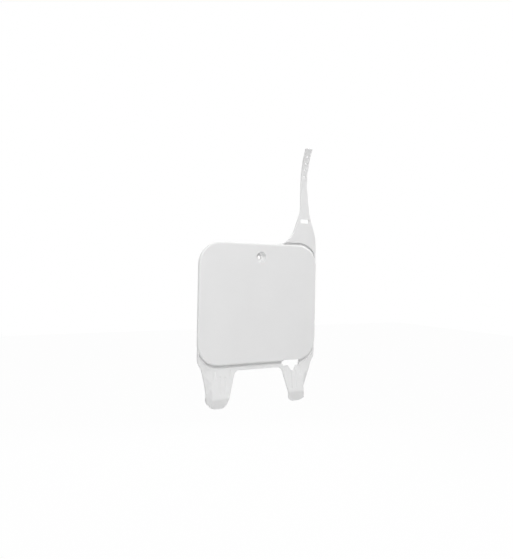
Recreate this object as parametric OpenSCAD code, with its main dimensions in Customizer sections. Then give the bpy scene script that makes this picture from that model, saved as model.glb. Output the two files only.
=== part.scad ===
// Front racing number board for a motocross bike: one moulded polypropylene shell.
// +Z is up, the board faces -Y, and the origin is the middle of the screw's seat,
// at the bottom of its dish. Millimetres.

/* [Panel] */
// Width of the raised number panel
panel_w = 240; // [220:1:260]
// Height of the raised number panel
panel_h = 214; // [200:1:230]
// Radius of the panel's corners
panel_r = 40; // [36:1:44]
// Rounding where the face turns into the panel's side
face_round = 3.5; // [2.5:0.5:4]
// Wall thickness of the moulding
wall = 3; // [2.5:0.25:3.25]
// Width of the groove round the panel
groove_w = 4.5; // [3:0.5:5]
// Depth of the groove's floor behind the face
groove_d = 6; // [5.5:0.5:7]

/* [Screw dish] */
// Drop of the screw below the panel's top edge
screw_drop = 25; // [22:1:30]
// Diameter of the clearance hole for an M6 screw
screw_d = 6.6; // [6.4:0.1:7]
// Diameter of the dish at the face
dish_d = 20; // [19:0.5:22]
// Diameter of the seat at the bottom of the dish
seat_d = 14; // [13:0.5:15]
// Depth of the seat below the face
seat_depth = 9; // [8.5:0.5:10]

/* [Arm and strap] */
// Set-back of the arm and the apron behind the face
base_y = 2.5; // [2:0.5:3]
// Width of the strap
strap_w = 13.5; // [13:0.5:15]
// Distance of the strap's inner edge from the board's centre line
strap_x = 83.3; // [82:0.1:85]
// Height above the panel where the strap starts to curl forward
curl_z = 113; // [105:1:120]
// Radius of the strap's forward curl, at its front
curl_r = 150; // [140:5:200]
// Length of the curled end of the strap
curl_len = 67; // [62:1:80]
// Number of peg holes in the strap
peg_holes = 4; // [3:1:5]
// Diameter of the peg holes
peg_hole_d = 4.6; // [4:0.1:5]
// Distance between the peg holes
peg_pitch = 12; // [11:0.5:12.5]
// Distance along the curl to the first peg hole
peg_start = 15.5; // [12:0.5:18]
// Width of the slot that the strap is threaded back through
slot_w = 20; // [18:0.5:21]
// Height of the slot
slot_h = 7.5; // [6:0.5:8]
// Height of the slot's middle above the panel
slot_z = 45; // [43:0.5:48]

/* [Apron and legs] */
// Height of the apron strip below the panel
apron_h = 10.3; // [10:0.1:12]
// Length of the legs below the apron
leg_len = 64; // [60:1:70]
// Distance between the legs' inner edges, where they leave the apron
leg_gap = 95; // [92:1:98]
// Outward lean of the inner edges
leg_in_turn = 15.7; // [12:0.1:17]
// Distance from the centre line to a leg's outer edge at its end
leg_out_x = 99.5; // [98.5:0.5:102]
// Forward lean of the legs, which follow the fork
leg_lean = 8; // [4:1:10]
// Turn of a leg's outer side, which wraps round the fork tube
leg_side_turn = 60; // [50:1:62]
// Distance from the centre line to the fold where that side starts
leg_fold_x = 93.5; // [92:0.5:95]
// Backward turn of the legs' ends
leg_tip_turn = 18; // [14:1:24]
// Height of the turned end of a leg
leg_tip_h = 18; // [15:1:20]
// Depth of the flutes in the legs
flute_d = 0.8; // [0.5:0.1:1]

/* [Hose cut-out] */
// Left edge of the cut-out
cut_x = 50.5; // [48:0.5:54]
// Width of the cut-out's upper part
cut_w = 39.5; // [36:0.5:42]
// Height of the cut-out's upper part
cut_h = 10.5; // [9:0.5:12]

/* [Hidden] */

arc_step = 5;          // degrees per step of an outline's arcs
wide_fn = 96;          // steps of the panel's corners and the dish
small_fn = 48;         // steps of small roundings and holes
curl_fn = 360;
past = 1;              // how far cutters run past a surface
reach = 200;           // half the size of the blocks that stand for a half-space
plate_back = base_y + wall;       // back of the flat plates and of the panel's sides
channel_back = groove_d + wall;   // back of the groove's channel
lip = 2.5;             // the groove stays this far inside the plate's outline
half_w = panel_w / 2;
plate_out_x = half_w - 1;         // the plate's sides stay just inside the panel's
strap_out_x = strap_x + strap_w;
strap_corner_r = 2.5;
ledge_z = -panel_h - apron_h;     // lower edge of the apron
leg_end_z = ledge_z - leg_len;
tip_z = leg_end_z + leg_tip_h;

// The arm's outline: its inner line leaves the panel's top at the foot and meets the strap
arm_foot_x = 60;
arm_foot_r = 40;
arm_top_z = 62.8;
arm_top_r = 30;
arm_side_z = 14;       // the outer line leaves the panel's width here, in wide curves
arm_waist_x = 103;
arm_waist_z = 60.5;
arm_neck_z = 108;
arm_curve_r = 60;

// Behind the panel the plate ends along a line from the top edge to the left side
plate_in_x = 20;
plate_in_z = -panel_r;
plate_low_x = -panel_r;
plate_low_z = -panel_h + 60;
plate_side_z = -panel_h + 38;

// The outer edges narrow from the panel's width to the apron's corner and on to the leg's knee
hip_z = -panel_h + 8;
hip_r = 15;
corner_x = 111.4;
corner_z = ledge_z + 4.8;
corner_r = 8;
knee_x = 103.6;
knee_z = ledge_z - 23.2;
knee_r = 40;
shin_z = ledge_z - 39.7;
ledge_x = corner_x + (knee_x - corner_x) * (ledge_z - corner_z) / (knee_z - corner_z);
crotch_x = 30;         // the fillets between ledge and legs end before this
leg_in_x = leg_gap / 2 + leg_len * tan(leg_in_turn);
crotch_r = 10;
leg_in_r = 12;         // corners of a leg's end
leg_out_r = 15;

// The legs leave the apron's plane at this fold
fold_z = ledge_z + 3.3;
leg_back_y = 13;       // the legs' outer sides reach back to here
gore_drop = 21;        // from the fold to the top of the side's own fold
gore_turn = 20;        // the gore between front and side
gore_lean = 11;

// Flutes: distance from the centre line, top and end below the fold
flute_r = 4.5;
flutes_at = [[57.5, 3, 19], [67.5, 14, 42], [77.5, 13, 41], [87.5, 3, 17]];

slot_r = 3;
slot_x = 93;           // from the centre line to the slot's middle

// The cut-out: a wide notch under the panel with a narrow neck below
cut_top_z = -panel_h + 2.5;
cut_shelf_z = cut_top_z - cut_h;
neck_z = cut_shelf_z - 9;
neck_top_x = [cut_x + 11, cut_x + 29];
neck_x = [cut_x + 18, cut_x + 24];
cut_slant = 4;
cut_r = 2;
neck_r = 1;

// The arm, the apron and what joins them behind the panel, as [x, z, radius] corners
base_corners = [
    [-plate_out_x, plate_side_z, 0],
    [-plate_out_x, hip_z, hip_r],
    [-corner_x, corner_z, corner_r],
    [-ledge_x, ledge_z, 0],
    [ledge_x, ledge_z, 0],
    [corner_x, corner_z, corner_r],
    [plate_out_x, hip_z, hip_r],
    [plate_out_x, arm_side_z, arm_curve_r],
    [arm_waist_x, arm_waist_z, arm_curve_r],
    [strap_out_x, arm_neck_z, arm_curve_r],
    [strap_out_x, curl_z, 0],
    [strap_x, curl_z, 0],
    [strap_x, arm_top_z, arm_top_r],
    [arm_foot_x, 0, arm_foot_r],
    [plate_in_x, 0, 0],
    [plate_in_x, plate_in_z, 0],
    [plate_low_x, plate_low_z, 0]
];

leg_corners = [
    [leg_in_x, leg_end_z, leg_in_r],
    [leg_out_x, leg_end_z, leg_out_r],
    [leg_out_x, shin_z, knee_r],
    [knee_x, knee_z, knee_r],
    [ledge_x, ledge_z, 0],
    [corner_x, corner_z, 0],
    [crotch_x, corner_z, 0],
    [crotch_x, ledge_z, 0],
    [leg_gap / 2, ledge_z, crotch_r]
];

cut_corners = [
    [cut_x, cut_top_z, cut_r],
    [cut_x, cut_shelf_z, cut_r],
    [neck_top_x[0], cut_shelf_z, neck_r],
    [neck_x[0], neck_z, cut_r],
    [neck_x[1], neck_z, cut_r],
    [neck_top_x[1], cut_shelf_z, neck_r],
    [cut_x + cut_w - cut_slant, cut_shelf_z, cut_r],
    [cut_x + cut_w, cut_top_z, cut_r]
];

function direction(a, b) = (b - a) / norm(b - a);
function left_of(v) = [-v[1], v[0]];
function turned(v, a) = [v[0] * cos(a) - v[1] * sin(a), v[0] * sin(a) + v[1] * cos(a)];
function turn_between(u, v) = atan2(u[0] * v[1] - u[1] * v[0], u * v);

// One rounded corner between the directions u and v, after moving both edges inwards
function corner_arc(at, u, v, r, inset) =
    let (
        turn = turn_between(u, v),
        side = sign(turn),
        corner = at + inset * (left_of(u) + left_of(v)) / (1 + u * v),
        radius = r == 0 ? 0 : max(r - side * inset, 0),
        start = corner - u * radius * tan(abs(turn) / 2),
        centre = start + side * left_of(u) * radius,
        steps = radius == 0 ? 0 : max(1, ceil(abs(turn) / arc_step))
    )
    steps == 0 ? [corner] : [
        for (k = [0:steps]) centre + turned(start - centre, turn * k / steps)
    ];

// A closed outline through anticlockwise corners, moved inwards by inset
module outline(corners, inset = 0) {
    n = len(corners);
    spots = [for (c = corners) [c[0], c[1]]];
    polygon([
        for (i = [0:n - 1])
            each corner_arc(
                spots[i],
                direction(spots[(i + n - 1) % n], spots[i]),
                direction(spots[i], spots[(i + 1) % n]),
                corners[i][2],
                inset
            )
    ]);
}

// A plate with the outline given, from the depth front to the depth back
module slab(front, back) {
    translate([0, back, 0])
        rotate([90, 0, 0])
            linear_extrude(back - front)
                children();
}

// The panel's outline, grown by a margin
module panel_outline(grow = 0) {
    r = panel_r + grow;
    span_x = panel_w - 2 * panel_r;
    span_z = panel_h - 2 * panel_r;
    translate([0, -panel_h / 2])
        union() {
            square([span_x + 2 * r, span_z], center = true);
            square([span_x, span_z + 2 * r], center = true);
            for (x = [-1, 1], z = [-1, 1])
                translate([x * span_x / 2, z * span_z / 2])
                    circle(r, $fn = wide_fn);
        }
}

// Section through the panel's edge: outwards along x, back along y
module edge_section(reach, depth, round_r) {
    difference() {
        square([reach, depth]);
        translate([reach - round_r, 0])
            difference() {
                translate([0, -past])
                    square([round_r + past, round_r + past]);
                translate([0, round_r])
                    circle(round_r, $fn = small_fn);
            }
    }
}

// A block with the panel's outline, moved inwards, and a rounded front edge
module pillow(inset, front, back, round_r) {
    r = panel_r - inset;
    span_x = panel_w - 2 * panel_r;
    span_z = panel_h - 2 * panel_r;
    depth = back - front;
    translate([0, front, -panel_h / 2]) {
        translate([-span_x / 2, 0, -span_z / 2])
            cube([span_x, depth, span_z]);
        for (turn = [0, 180])
            rotate([0, turn, 0]) {
                translate([span_x / 2, 0, -span_z / 2])
                    linear_extrude(span_z)
                        edge_section(r, depth, round_r);
                translate([-span_x / 2, 0, span_z / 2])
                    rotate([0, -90, 180])
                        mirror([0, 1, 0])
                            linear_extrude(span_x)
                                edge_section(r, depth, round_r);
            }
        for (x = [-1, 1], z = [-1, 1])
            translate([x * span_x / 2, 0, z * span_z / 2])
                rotate([-90, 0, 0])
                    rotate_extrude($fn = wide_fn)
                        edge_section(r, depth, round_r);
    }
}

// The flat plate of the arm and the apron
module plate() {
    slab(base_y, plate_back)
        outline(base_corners);
}

// The groove's channel, pressed back into the plate
module channel() {
    slab(base_y, channel_back)
        intersection() {
            panel_outline(groove_w + wall);
            outline(base_corners, lip / 2);
        }
}

// The groove round the raised panel, seen on the arm and the apron
module groove() {
    slab(-past, groove_d)
        difference() {
            intersection() {
                panel_outline(groove_w);
                outline(base_corners, lip);
            }
            panel_outline();
        }
}

// A cone or cylinder along the screw's axis, from the depth front to the depth back
module on_screw_axis(d_front, d_back, front, back) {
    translate([0, front, -screw_drop])
        rotate([-90, 0, 0])
            cylinder(d1 = d_front, d2 = d_back, h = back - front, $fn = wide_fn);
}

module dish_cup() {
    on_screw_axis(dish_d + 2 * wall, seat_d + 2 * wall, wall / 2, seat_depth + wall);
}

module dish_hollow() {
    widen = past * (dish_d - seat_d) / seat_depth;
    on_screw_axis(dish_d + widen, seat_d, -past, seat_depth);
    on_screw_axis(screw_d, screw_d, seat_depth - past, seat_depth + wall + past);
}

// The half-space behind a plane that faces the front, turned and leant, moved back by inset
module behind(turn, lean, inset) {
    rotate([lean, 0, turn])
        translate([-reach, inset, -reach])
            cube([2 * reach, reach, 2 * reach]);
}

// The frame of a leg's front: it leans forward from the fold under the apron
module on_leg_front(x, drop) {
    translate([0, base_y, fold_z])
        rotate([-leg_lean, 0, 0])
            translate([x, 0, -drop])
                children();
}

// What lies behind a leg: its front, its turned tip, and its side with the gore above
module leg_form(inset) {
    intersection() {
        on_leg_front(leg_fold_x, 0)
            behind(0, 0, inset);
        on_leg_front(leg_fold_x, (fold_z - tip_z) / cos(leg_lean))
            behind(0, leg_lean + leg_tip_turn, inset);
        on_leg_front(leg_fold_x, gore_drop)
            union() {
                behind(leg_side_turn, 0, inset);
                behind(gore_turn, gore_lean + leg_lean, inset);
            }
    }
}

module leg_shell() {
    intersection() {
        slab(-reach / 2, leg_back_y)
            outline(leg_corners);
        difference() {
            leg_form(0);
            leg_form(wall);
        }
    }
}

// Shallow upright flutes in a leg's front
module flutes() {
    for (f = flutes_at)
        on_leg_front(f[0], f[2])
            translate([0, flute_d - flute_r, 0]) {
                cylinder(r = flute_r, h = f[2] - f[1], $fn = small_fn);
                sphere(r = flute_r, $fn = small_fn);
                translate([0, 0, f[2] - f[1]])
                    sphere(r = flute_r, $fn = small_fn);
            }
}

module both_sides() {
    children();
    mirror([1, 0, 0])
        children();
}

// The end of the strap, curled forward, with its peg holes and rounded corners
module strap_curl() {
    turn = curl_len / curl_r * 180 / PI;
    translate([strap_x, base_y - curl_r, curl_z])
        rotate([90, 0, 90])
            difference() {
                rotate_extrude(angle = turn, $fn = curl_fn)
                    translate([curl_r, 0])
                        square([wall, strap_w]);
                for (k = [0:peg_holes - 1])
                    rotate([0, 0, (peg_start + k * peg_pitch) / curl_r * 180 / PI])
                        translate([curl_r - past, 0, strap_w / 2])
                            rotate([0, 90, 0])
                                cylinder(d = peg_hole_d, h = wall + 2 * past, $fn = small_fn);
                rotate([0, 0, turn])
                    translate([curl_r - past, 0, strap_w / 2])
                        for (side = [-1, 1])
                            translate([0, -strap_corner_r, side * (strap_w / 2 - strap_corner_r)])
                                rotate([0, 90, 0])
                                    corner_cutter(side);
            }
}

// What is cut off one corner of the strap's end
module corner_cutter(side) {
    difference() {
        translate([side > 0 ? -strap_corner_r - past : 0, 0, 0])
            cube([strap_corner_r + past, strap_corner_r + past, wall + 2 * past]);
        translate([0, 0, -past])
            cylinder(r = strap_corner_r, h = wall + 4 * past, $fn = small_fn);
    }
}

// Slot that the strap's end is threaded back through
module strap_slot() {
    slab(base_y - past, plate_back + past)
        translate([slot_x, slot_z]) {
            square([slot_w - 2 * slot_r, slot_h], center = true);
            square([slot_w, slot_h - 2 * slot_r], center = true);
            for (x = [-1, 1], z = [-1, 1])
                translate([x * (slot_w / 2 - slot_r), z * (slot_h / 2 - slot_r)])
                    circle(slot_r, $fn = small_fn);
        }
}

module number_board() {
    color("whitesmoke")
        translate([0, -seat_depth, screw_drop]) {
            difference() {
                union() {
                    difference() {
                        union() {
                            pillow(0, 0, plate_back, face_round);
                            difference() {
                                union() {
                                    plate();
                                    channel();
                                }
                                groove();
                            }
                        }
                        pillow(wall, wall, channel_back + past, face_round / 2);
                    }
                    both_sides()
                        leg_shell();
                    dish_cup();
                }
                dish_hollow();
                strap_slot();
                both_sides()
                    flutes();
                slab(-leg_back_y, leg_back_y + past)
                    outline(cut_corners);
            }
            strap_curl();
        }
}

number_board();
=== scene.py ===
import math

import bmesh
import bpy
from mathutils import Matrix, Vector


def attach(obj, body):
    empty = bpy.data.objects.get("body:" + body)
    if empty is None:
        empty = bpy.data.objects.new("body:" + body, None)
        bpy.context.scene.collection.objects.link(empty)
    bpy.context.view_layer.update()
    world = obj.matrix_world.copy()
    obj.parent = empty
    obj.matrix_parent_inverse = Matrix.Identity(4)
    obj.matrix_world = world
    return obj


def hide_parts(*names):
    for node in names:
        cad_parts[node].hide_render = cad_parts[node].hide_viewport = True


# Racing number board for a motocross bike: one shell, injection moulded in white
# polypropylene and shown alone on white. Metres, +Z up, the board faces -Y, and the
# origin is the middle of the screw's seat.

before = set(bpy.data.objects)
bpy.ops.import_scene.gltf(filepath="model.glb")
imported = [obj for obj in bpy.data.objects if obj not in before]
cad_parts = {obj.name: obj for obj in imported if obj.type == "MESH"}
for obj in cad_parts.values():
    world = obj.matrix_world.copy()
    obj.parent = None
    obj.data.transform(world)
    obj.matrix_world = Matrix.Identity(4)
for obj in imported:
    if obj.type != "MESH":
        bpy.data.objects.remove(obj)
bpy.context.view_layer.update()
scene = bpy.context.scene
mmPerMetre = 1000
print("frame loaded")


# Small helpers

def srgbToLinear(hexColour):
    channels = [int(hexColour[i:i + 2], 16) / 255 for i in (1, 3, 5)]
    linear = [c / 12.92 if c <= 0.04045 else ((c + 0.055) / 1.055) ** 2.4 for c in channels]
    return (*linear, 1.0)


def addNode(tree, kind, settings=None, inputs=None, links=None):
    # inputs are constants by socket name or number, links are (from node, its output) pairs
    node = tree.nodes.new(kind)
    for name, value in (settings or {}).items():
        setattr(node, name, value)
    for socket, value in (inputs or {}).items():
        node.inputs[socket].default_value = value
    for socket, (source, output) in (links or {}).items():
        tree.links.new(source.outputs[output], node.inputs[socket])
    return node


def newMaterial(name):
    material = bpy.data.materials.new(name)
    material.use_nodes = True
    material.node_tree.nodes.clear()
    return material, material.node_tree


def deselectAll():
    if bpy.context.object and bpy.context.object.mode != "OBJECT":
        bpy.ops.object.mode_set(mode="OBJECT")
    bpy.ops.object.select_all(action="DESELECT")


def makeActive(piece):
    deselectAll()
    piece.select_set(True)
    bpy.context.view_layer.objects.active = piece


# The material

plasticFinish = {
    "colour": "#ededed",         # undyed natural white
    "shadeColour": "#e8e8e8",    # slightly greyer where the melt cooled slower
    "roughness": 0.36,           # satin: moulded against a fine blasted tool
    "roughnessSpread": 0.05,
    "ior": 1.49,
    "grainMm": 0.9,              # real grain is near 0.1 mm, drawn coarser so that it shows
    "grainDepthMm": 0.012,
    "grainStrength": 0.6,
    "milkiness": 0.2,            # natural polypropylene lets a little light through
    "milkDepthMm": 1.5,
    "flowMm": 70.0,              # slow clouding left by the melt's flow
    "sinkDepthMm": 0.05,         # and the faint unevenness that comes with it
}


def makePolypropylene():
    # Polypropylene moulded in a satin tool: milky white with soft, broad highlights
    fin = plasticFinish
    material, tree = newMaterial("mouldedPolypropylene")
    coords = addNode(tree, "ShaderNodeTexCoord")
    flow = addNode(
        tree, "ShaderNodeTexNoise",
        inputs={"Scale": mmPerMetre / fin["flowMm"], "Detail": 3.0, "Roughness": 0.5},
        links={"Vector": (coords, "Object")})
    grain = addNode(
        tree, "ShaderNodeTexNoise",
        inputs={"Scale": mmPerMetre / fin["grainMm"], "Detail": 2.0, "Roughness": 0.6},
        links={"Vector": (coords, "Object")})
    colour = addNode(
        tree, "ShaderNodeMix", {"data_type": "RGBA"},
        {6: srgbToLinear(fin["colour"]), 7: srgbToLinear(fin["shadeColour"])},
        {0: (flow, "Fac")})
    roughness = addNode(
        tree, "ShaderNodeMapRange",
        inputs={"To Min": fin["roughness"] - fin["roughnessSpread"],
                "To Max": fin["roughness"] + fin["roughnessSpread"]},
        links={"Value": (flow, "Fac")})
    sink = addNode(
        tree, "ShaderNodeBump",
        inputs={"Strength": 1.0, "Distance": fin["sinkDepthMm"] / mmPerMetre},
        links={"Height": (flow, "Fac")})
    bump = addNode(
        tree, "ShaderNodeBump",
        inputs={"Strength": fin["grainStrength"], "Distance": fin["grainDepthMm"] / mmPerMetre},
        links={"Height": (grain, "Fac"), "Normal": (sink, "Normal")})
    shader = addNode(
        tree, "ShaderNodeBsdfPrincipled",
        inputs={"IOR": fin["ior"], "Subsurface Weight": fin["milkiness"],
                "Subsurface Radius": (1, 1, 1), "Subsurface Scale": fin["milkDepthMm"] / mmPerMetre},
        links={"Base Color": (colour, 2), "Roughness": (roughness, "Result"),
               "Normal": (bump, "Normal")})
    addNode(tree, "ShaderNodeOutputMaterial", links={"Surface": (shader, "BSDF")})
    return material


polypropylene = makePolypropylene()
print("polypropylene made")


# The shell

shellSettings = {
    "mergeMm": 0.002,
    "flatDegrees": 0.6,       # triangles within this angle join into one flat face
    "roundSegments": 3,
    "edgeDegrees": 28,        # edges sharper than this are broken
    "foldDegrees": 20,        # and the legs' folds from this angle on
    "smoothDegrees": 34,
    # radii of the moulding's edges by kind
    "edgeMm": 0.25,
    "lipMm": 0.5,             # along the groove and round the dish
    "rimMm": 1.2,             # front edges of the arm, the strap, the apron and the legs
    "foldMm": 2.0,            # folds of the legs
    # a face is at the front, a side wall or part of a fold by its normal's Y
    "frontNormal": -0.9,
    "wallNormal": 0.05,
    "foldNormal": -0.2,
    # where the kinds lie, in mm from the screw's seat: boxes are x from, x to, z from, z to
    "panelHalf": (120, 107),
    "panelRadius": 40,
    "panelMiddleZ": -82,
    "grooveWidth": 4.8,
    "dishReach": 11,
    "legsBelowZ": -196,
    "legRimX": (31, 91),
    "foldX": (91, 94.5),
    "foldTopZ": -217,
    "tipBelowZ": -243,
    "slotBox": (82, 104, 65, 75),
    "cutBox": (50, 91, -210, -185),
    "holesBox": (85.5, 94.6, 138, 207),
    # nothing is rounded where the forms run out to a point
    "strapEndZ": (184, 200),
    "plateEnds": (106, 122, -200, 20),
    "armFoot": (8, 68, 22, 36),
    "pointMargin": -0.5,      # counts from this far outside the panel's outline
}


def panelDistance(x, z):
    # Distance outwards from the outline of the raised panel, in mm
    cfg = shellSettings
    radius = cfg["panelRadius"]
    dx = abs(x) - (cfg["panelHalf"][0] - radius)
    dz = abs(z - cfg["panelMiddleZ"]) - (cfg["panelHalf"][1] - radius)
    return math.hypot(max(dx, 0), max(dz, 0)) + min(max(dx, dz), 0) - radius


def inBox(x, z, box):
    return box[0] < x < box[1] and box[2] < z < box[3]


def legEdgeRadius(x, z, angle, normals, onFrontRim):
    # Only the folds and the front rims of the legs are rounded
    cfg = shellSettings
    insideFold = abs(x) < cfg["foldX"][0]
    atFold = cfg["foldX"][0] < abs(x) < cfg["foldX"][1] and z < cfg["foldTopZ"]
    atTip = insideFold and z < cfg["tipBelowZ"]
    if normals[1] < cfg["foldNormal"] and angle > cfg["foldDegrees"] and (atFold or atTip):
        return cfg["foldMm"]
    onRim = onFrontRim and cfg["legRimX"][0] < abs(x) < cfg["legRimX"][1]
    return cfg["rimMm"] if onRim and not inBox(x, z, cfg["cutBox"]) else 0


def edgeRadius(edge):
    # How far one edge of the moulding is rounded, in mm
    cfg = shellSettings
    if len(edge.link_faces) != 2:
        return 0
    angle = math.degrees(edge.calc_face_angle(0))
    middle = (edge.verts[0].co + edge.verts[1].co) * (mmPerMetre / 2)
    x, z = middle.x, middle.z
    normals = sorted(face.normal.y for face in edge.link_faces)
    front = normals[0] < cfg["frontNormal"]
    onFrontRim = front and abs(normals[1]) < cfg["wallNormal"]
    if z < cfg["legsBelowZ"]:
        return legEdgeRadius(x, z, angle, normals, onFrontRim)
    outwards = panelDistance(x, z)
    atPoint = inBox(abs(x), z, cfg["plateEnds"]) or inBox(x, z, cfg["armFoot"])
    if atPoint and outwards > cfg["pointMargin"]:
        return 0
    if angle < cfg["edgeDegrees"] or inBox(x, z, cfg["holesBox"]) or inBox(x, z, cfg["cutBox"]):
        return 0
    low, high = cfg["strapEndZ"]
    taper = min(max((high - z) / (high - low), 0), 1)
    if onFrontRim and not inBox(x, z, cfg["slotBox"]):
        return cfg["rimMm"] * taper if outwards > cfg["grooveWidth"] else cfg["lipMm"]
    if front and math.hypot(x, z) < cfg["dishReach"]:
        return cfg["lipMm"]
    return cfg["edgeMm"] * taper


def makeShell():
    # A merged copy of the CAD solid with its edges rounded, which stands for the node
    cfg = shellSettings
    source = bpy.data.objects["number_board"]
    shell = source.copy()
    shell.data = source.data.copy()
    shell.name = shell.data.name = "numberBoardShell"
    scene.collection.objects.link(shell)
    makeActive(shell)
    bpy.ops.object.mode_set(mode="EDIT")
    bpy.ops.mesh.select_all(action="SELECT")
    bpy.ops.mesh.remove_doubles(threshold=cfg["mergeMm"] / mmPerMetre)
    bpy.ops.mesh.dissolve_limited(angle_limit=math.radians(cfg["flatDegrees"]))
    bpy.ops.object.mode_set(mode="OBJECT")

    # Each edge's radius, as its share of the widest one
    widest = max(cfg["rimMm"], cfg["foldMm"])
    solid = bmesh.new()
    solid.from_mesh(shell.data)
    weights = [edgeRadius(edge) / widest for edge in solid.edges]
    solid.free()
    layer = shell.data.attributes.new("bevel_weight_edge", "FLOAT", "EDGE")
    layer.data.foreach_set("value", weights)
    bevel = shell.modifiers.new("roundedEdges", "BEVEL")
    bevel.width = widest / mmPerMetre
    bevel.segments = cfg["roundSegments"]
    bevel.limit_method = "WEIGHT"
    bevel.use_clamp_overlap = False     # clamped, the shortest edge would shrink every radius
    bpy.ops.object.modifier_apply(modifier=bevel.name)

    bpy.ops.object.shade_smooth_by_angle(angle=math.radians(cfg["smoothDegrees"]))
    weighted = shell.modifiers.new("flatFacesStayFlat", "WEIGHTED_NORMAL")
    weighted.keep_sharp = True
    weighted.weight = 100
    bpy.ops.object.modifier_apply(modifier=weighted.name)
    shell.data.materials.clear()
    shell.data.materials.append(polypropylene)
    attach(shell, "root")
    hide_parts("number_board")
    return shell


shell = makeShell()
print("shell made,", len(shell.data.polygons), "faces")


# Floor, light and camera

stageSettings = {
    "floorZ": -0.9,
    "floorSize": 14.0,
    "floorColour": "#e8e8e8",
    "floorGlow": 0.98,       # share of plain white that the camera sees in the floor
    "skyStrength": 0.2,
}


def whereSeen(tree):
    # 1 for rays from the camera, direct, mirrored or let through, and 0 for the object's light
    rays = addNode(tree, "ShaderNodeLightPath")
    seen = addNode(
        tree, "ShaderNodeMath", {"operation": "MAXIMUM"},
        links={0: (rays, "Is Camera Ray"), 1: (rays, "Is Glossy Ray")})
    return addNode(
        tree, "ShaderNodeMath", {"operation": "MAXIMUM"},
        links={0: (seen, "Value"), 1: (rays, "Is Transmission Ray")})


def makeFloor():
    cfg = stageSettings
    material, tree = newMaterial("paleFloor")
    share = addNode(
        tree, "ShaderNodeMath", {"operation": "MULTIPLY"}, {1: cfg["floorGlow"]},
        {0: (whereSeen(tree), "Value")})
    matt = addNode(tree, "ShaderNodeBsdfDiffuse", inputs={"Color": srgbToLinear(cfg["floorColour"])})
    glow = addNode(tree, "ShaderNodeEmission", inputs={"Strength": 1.0})
    mixed = addNode(
        tree, "ShaderNodeMixShader",
        links={0: (share, "Value"), 1: (matt, "BSDF"), 2: (glow, "Emission")})
    addNode(tree, "ShaderNodeOutputMaterial", links={"Surface": (mixed, "Shader")})
    deselectAll()
    bpy.ops.mesh.primitive_plane_add(size=cfg["floorSize"], location=(0, 0, cfg["floorZ"]))
    floor = bpy.context.object
    floor.name = "floor"
    bpy.ops.object.transform_apply(location=True, rotation=True, scale=True)
    floor.data.materials.append(material)


def makeRoom():
    world = bpy.data.worlds.new("whiteRoom")
    scene.world = world
    world.use_nodes = True
    tree = world.node_tree
    tree.nodes.clear()
    strength = addNode(
        tree, "ShaderNodeMapRange",
        inputs={"To Min": stageSettings["skyStrength"], "To Max": 1.0},
        links={"Value": (whereSeen(tree), "Value")})
    light = addNode(
        tree, "ShaderNodeBackground", inputs={"Color": (1, 1, 1, 1)},
        links={"Strength": (strength, "Result")})
    addNode(tree, "ShaderNodeOutputWorld", links={"Surface": (light, "Background")})


lampTarget = (0, 0, -0.08)
lamps = [
    # name, place, size, power in watts
    ("keySoftbox", (-0.75, -1.9, 1.55), 0.9, 36.0),
    ("topSoftbox", (-0.3, -0.35, 1.9), 1.4, 9.0),
    ("leftSoftbox", (-1.4, -1.1, -0.75), 0.6, 6.0),
    ("rightSoftbox", (1.5, -0.15, 1.0), 0.6, 17.0),
    ("backSoftbox", (0.6, 1.8, 0.5), 2.2, 24.0),
]


def makeLamps():
    for name, place, size, watts in lamps:
        data = bpy.data.lights.new(name, "AREA")
        data.shape = "SQUARE"
        data.size = size
        data.energy = watts
        lamp = bpy.data.objects.new(name, data)
        scene.collection.objects.link(lamp)
        lamp.location = place
        towards = Vector(lampTarget) - Vector(place)
        lamp.rotation_euler = towards.to_track_quat("-Z", "Y").to_euler()


cameraSettings = {
    "place": (-0.502, -0.8785, -0.028),
    "turnDegrees": 30.0,     # the board is seen from its left
    "rollDegrees": 1.15,
    "lens": 36.26,
    "sensorWidth": 36,
    "shift": (-0.0087, -0.0116),
    "clipEnd": 60,
}


def makeCamera():
    cfg = cameraSettings
    turn = math.radians(cfg["turnDegrees"])
    roll = math.radians(cfg["rollDegrees"])
    ahead = Vector((math.sin(turn), math.cos(turn), 0))
    level = Vector((math.cos(turn), -math.sin(turn), 0))
    up = Vector((0, 0, 1))
    right = level * math.cos(roll) + up * math.sin(roll)
    top = up * math.cos(roll) - level * math.sin(roll)
    data = bpy.data.cameras.new("photoCamera")
    data.lens = cfg["lens"]
    data.sensor_width = cfg["sensorWidth"]
    data.sensor_fit = "AUTO"
    data.shift_x, data.shift_y = cfg["shift"]
    data.clip_end = cfg["clipEnd"]
    camera = bpy.data.objects.new("photoCamera", data)
    scene.collection.objects.link(camera)
    placed = Matrix((right, top, -ahead)).transposed().to_4x4()
    placed.translation = Vector(cfg["place"])
    camera.matrix_world = placed
    scene.camera = camera


makeFloor()
makeRoom()
makeLamps()
makeCamera()
scene.view_settings.view_transform = "Standard"
print("stage, lamps and camera ready")
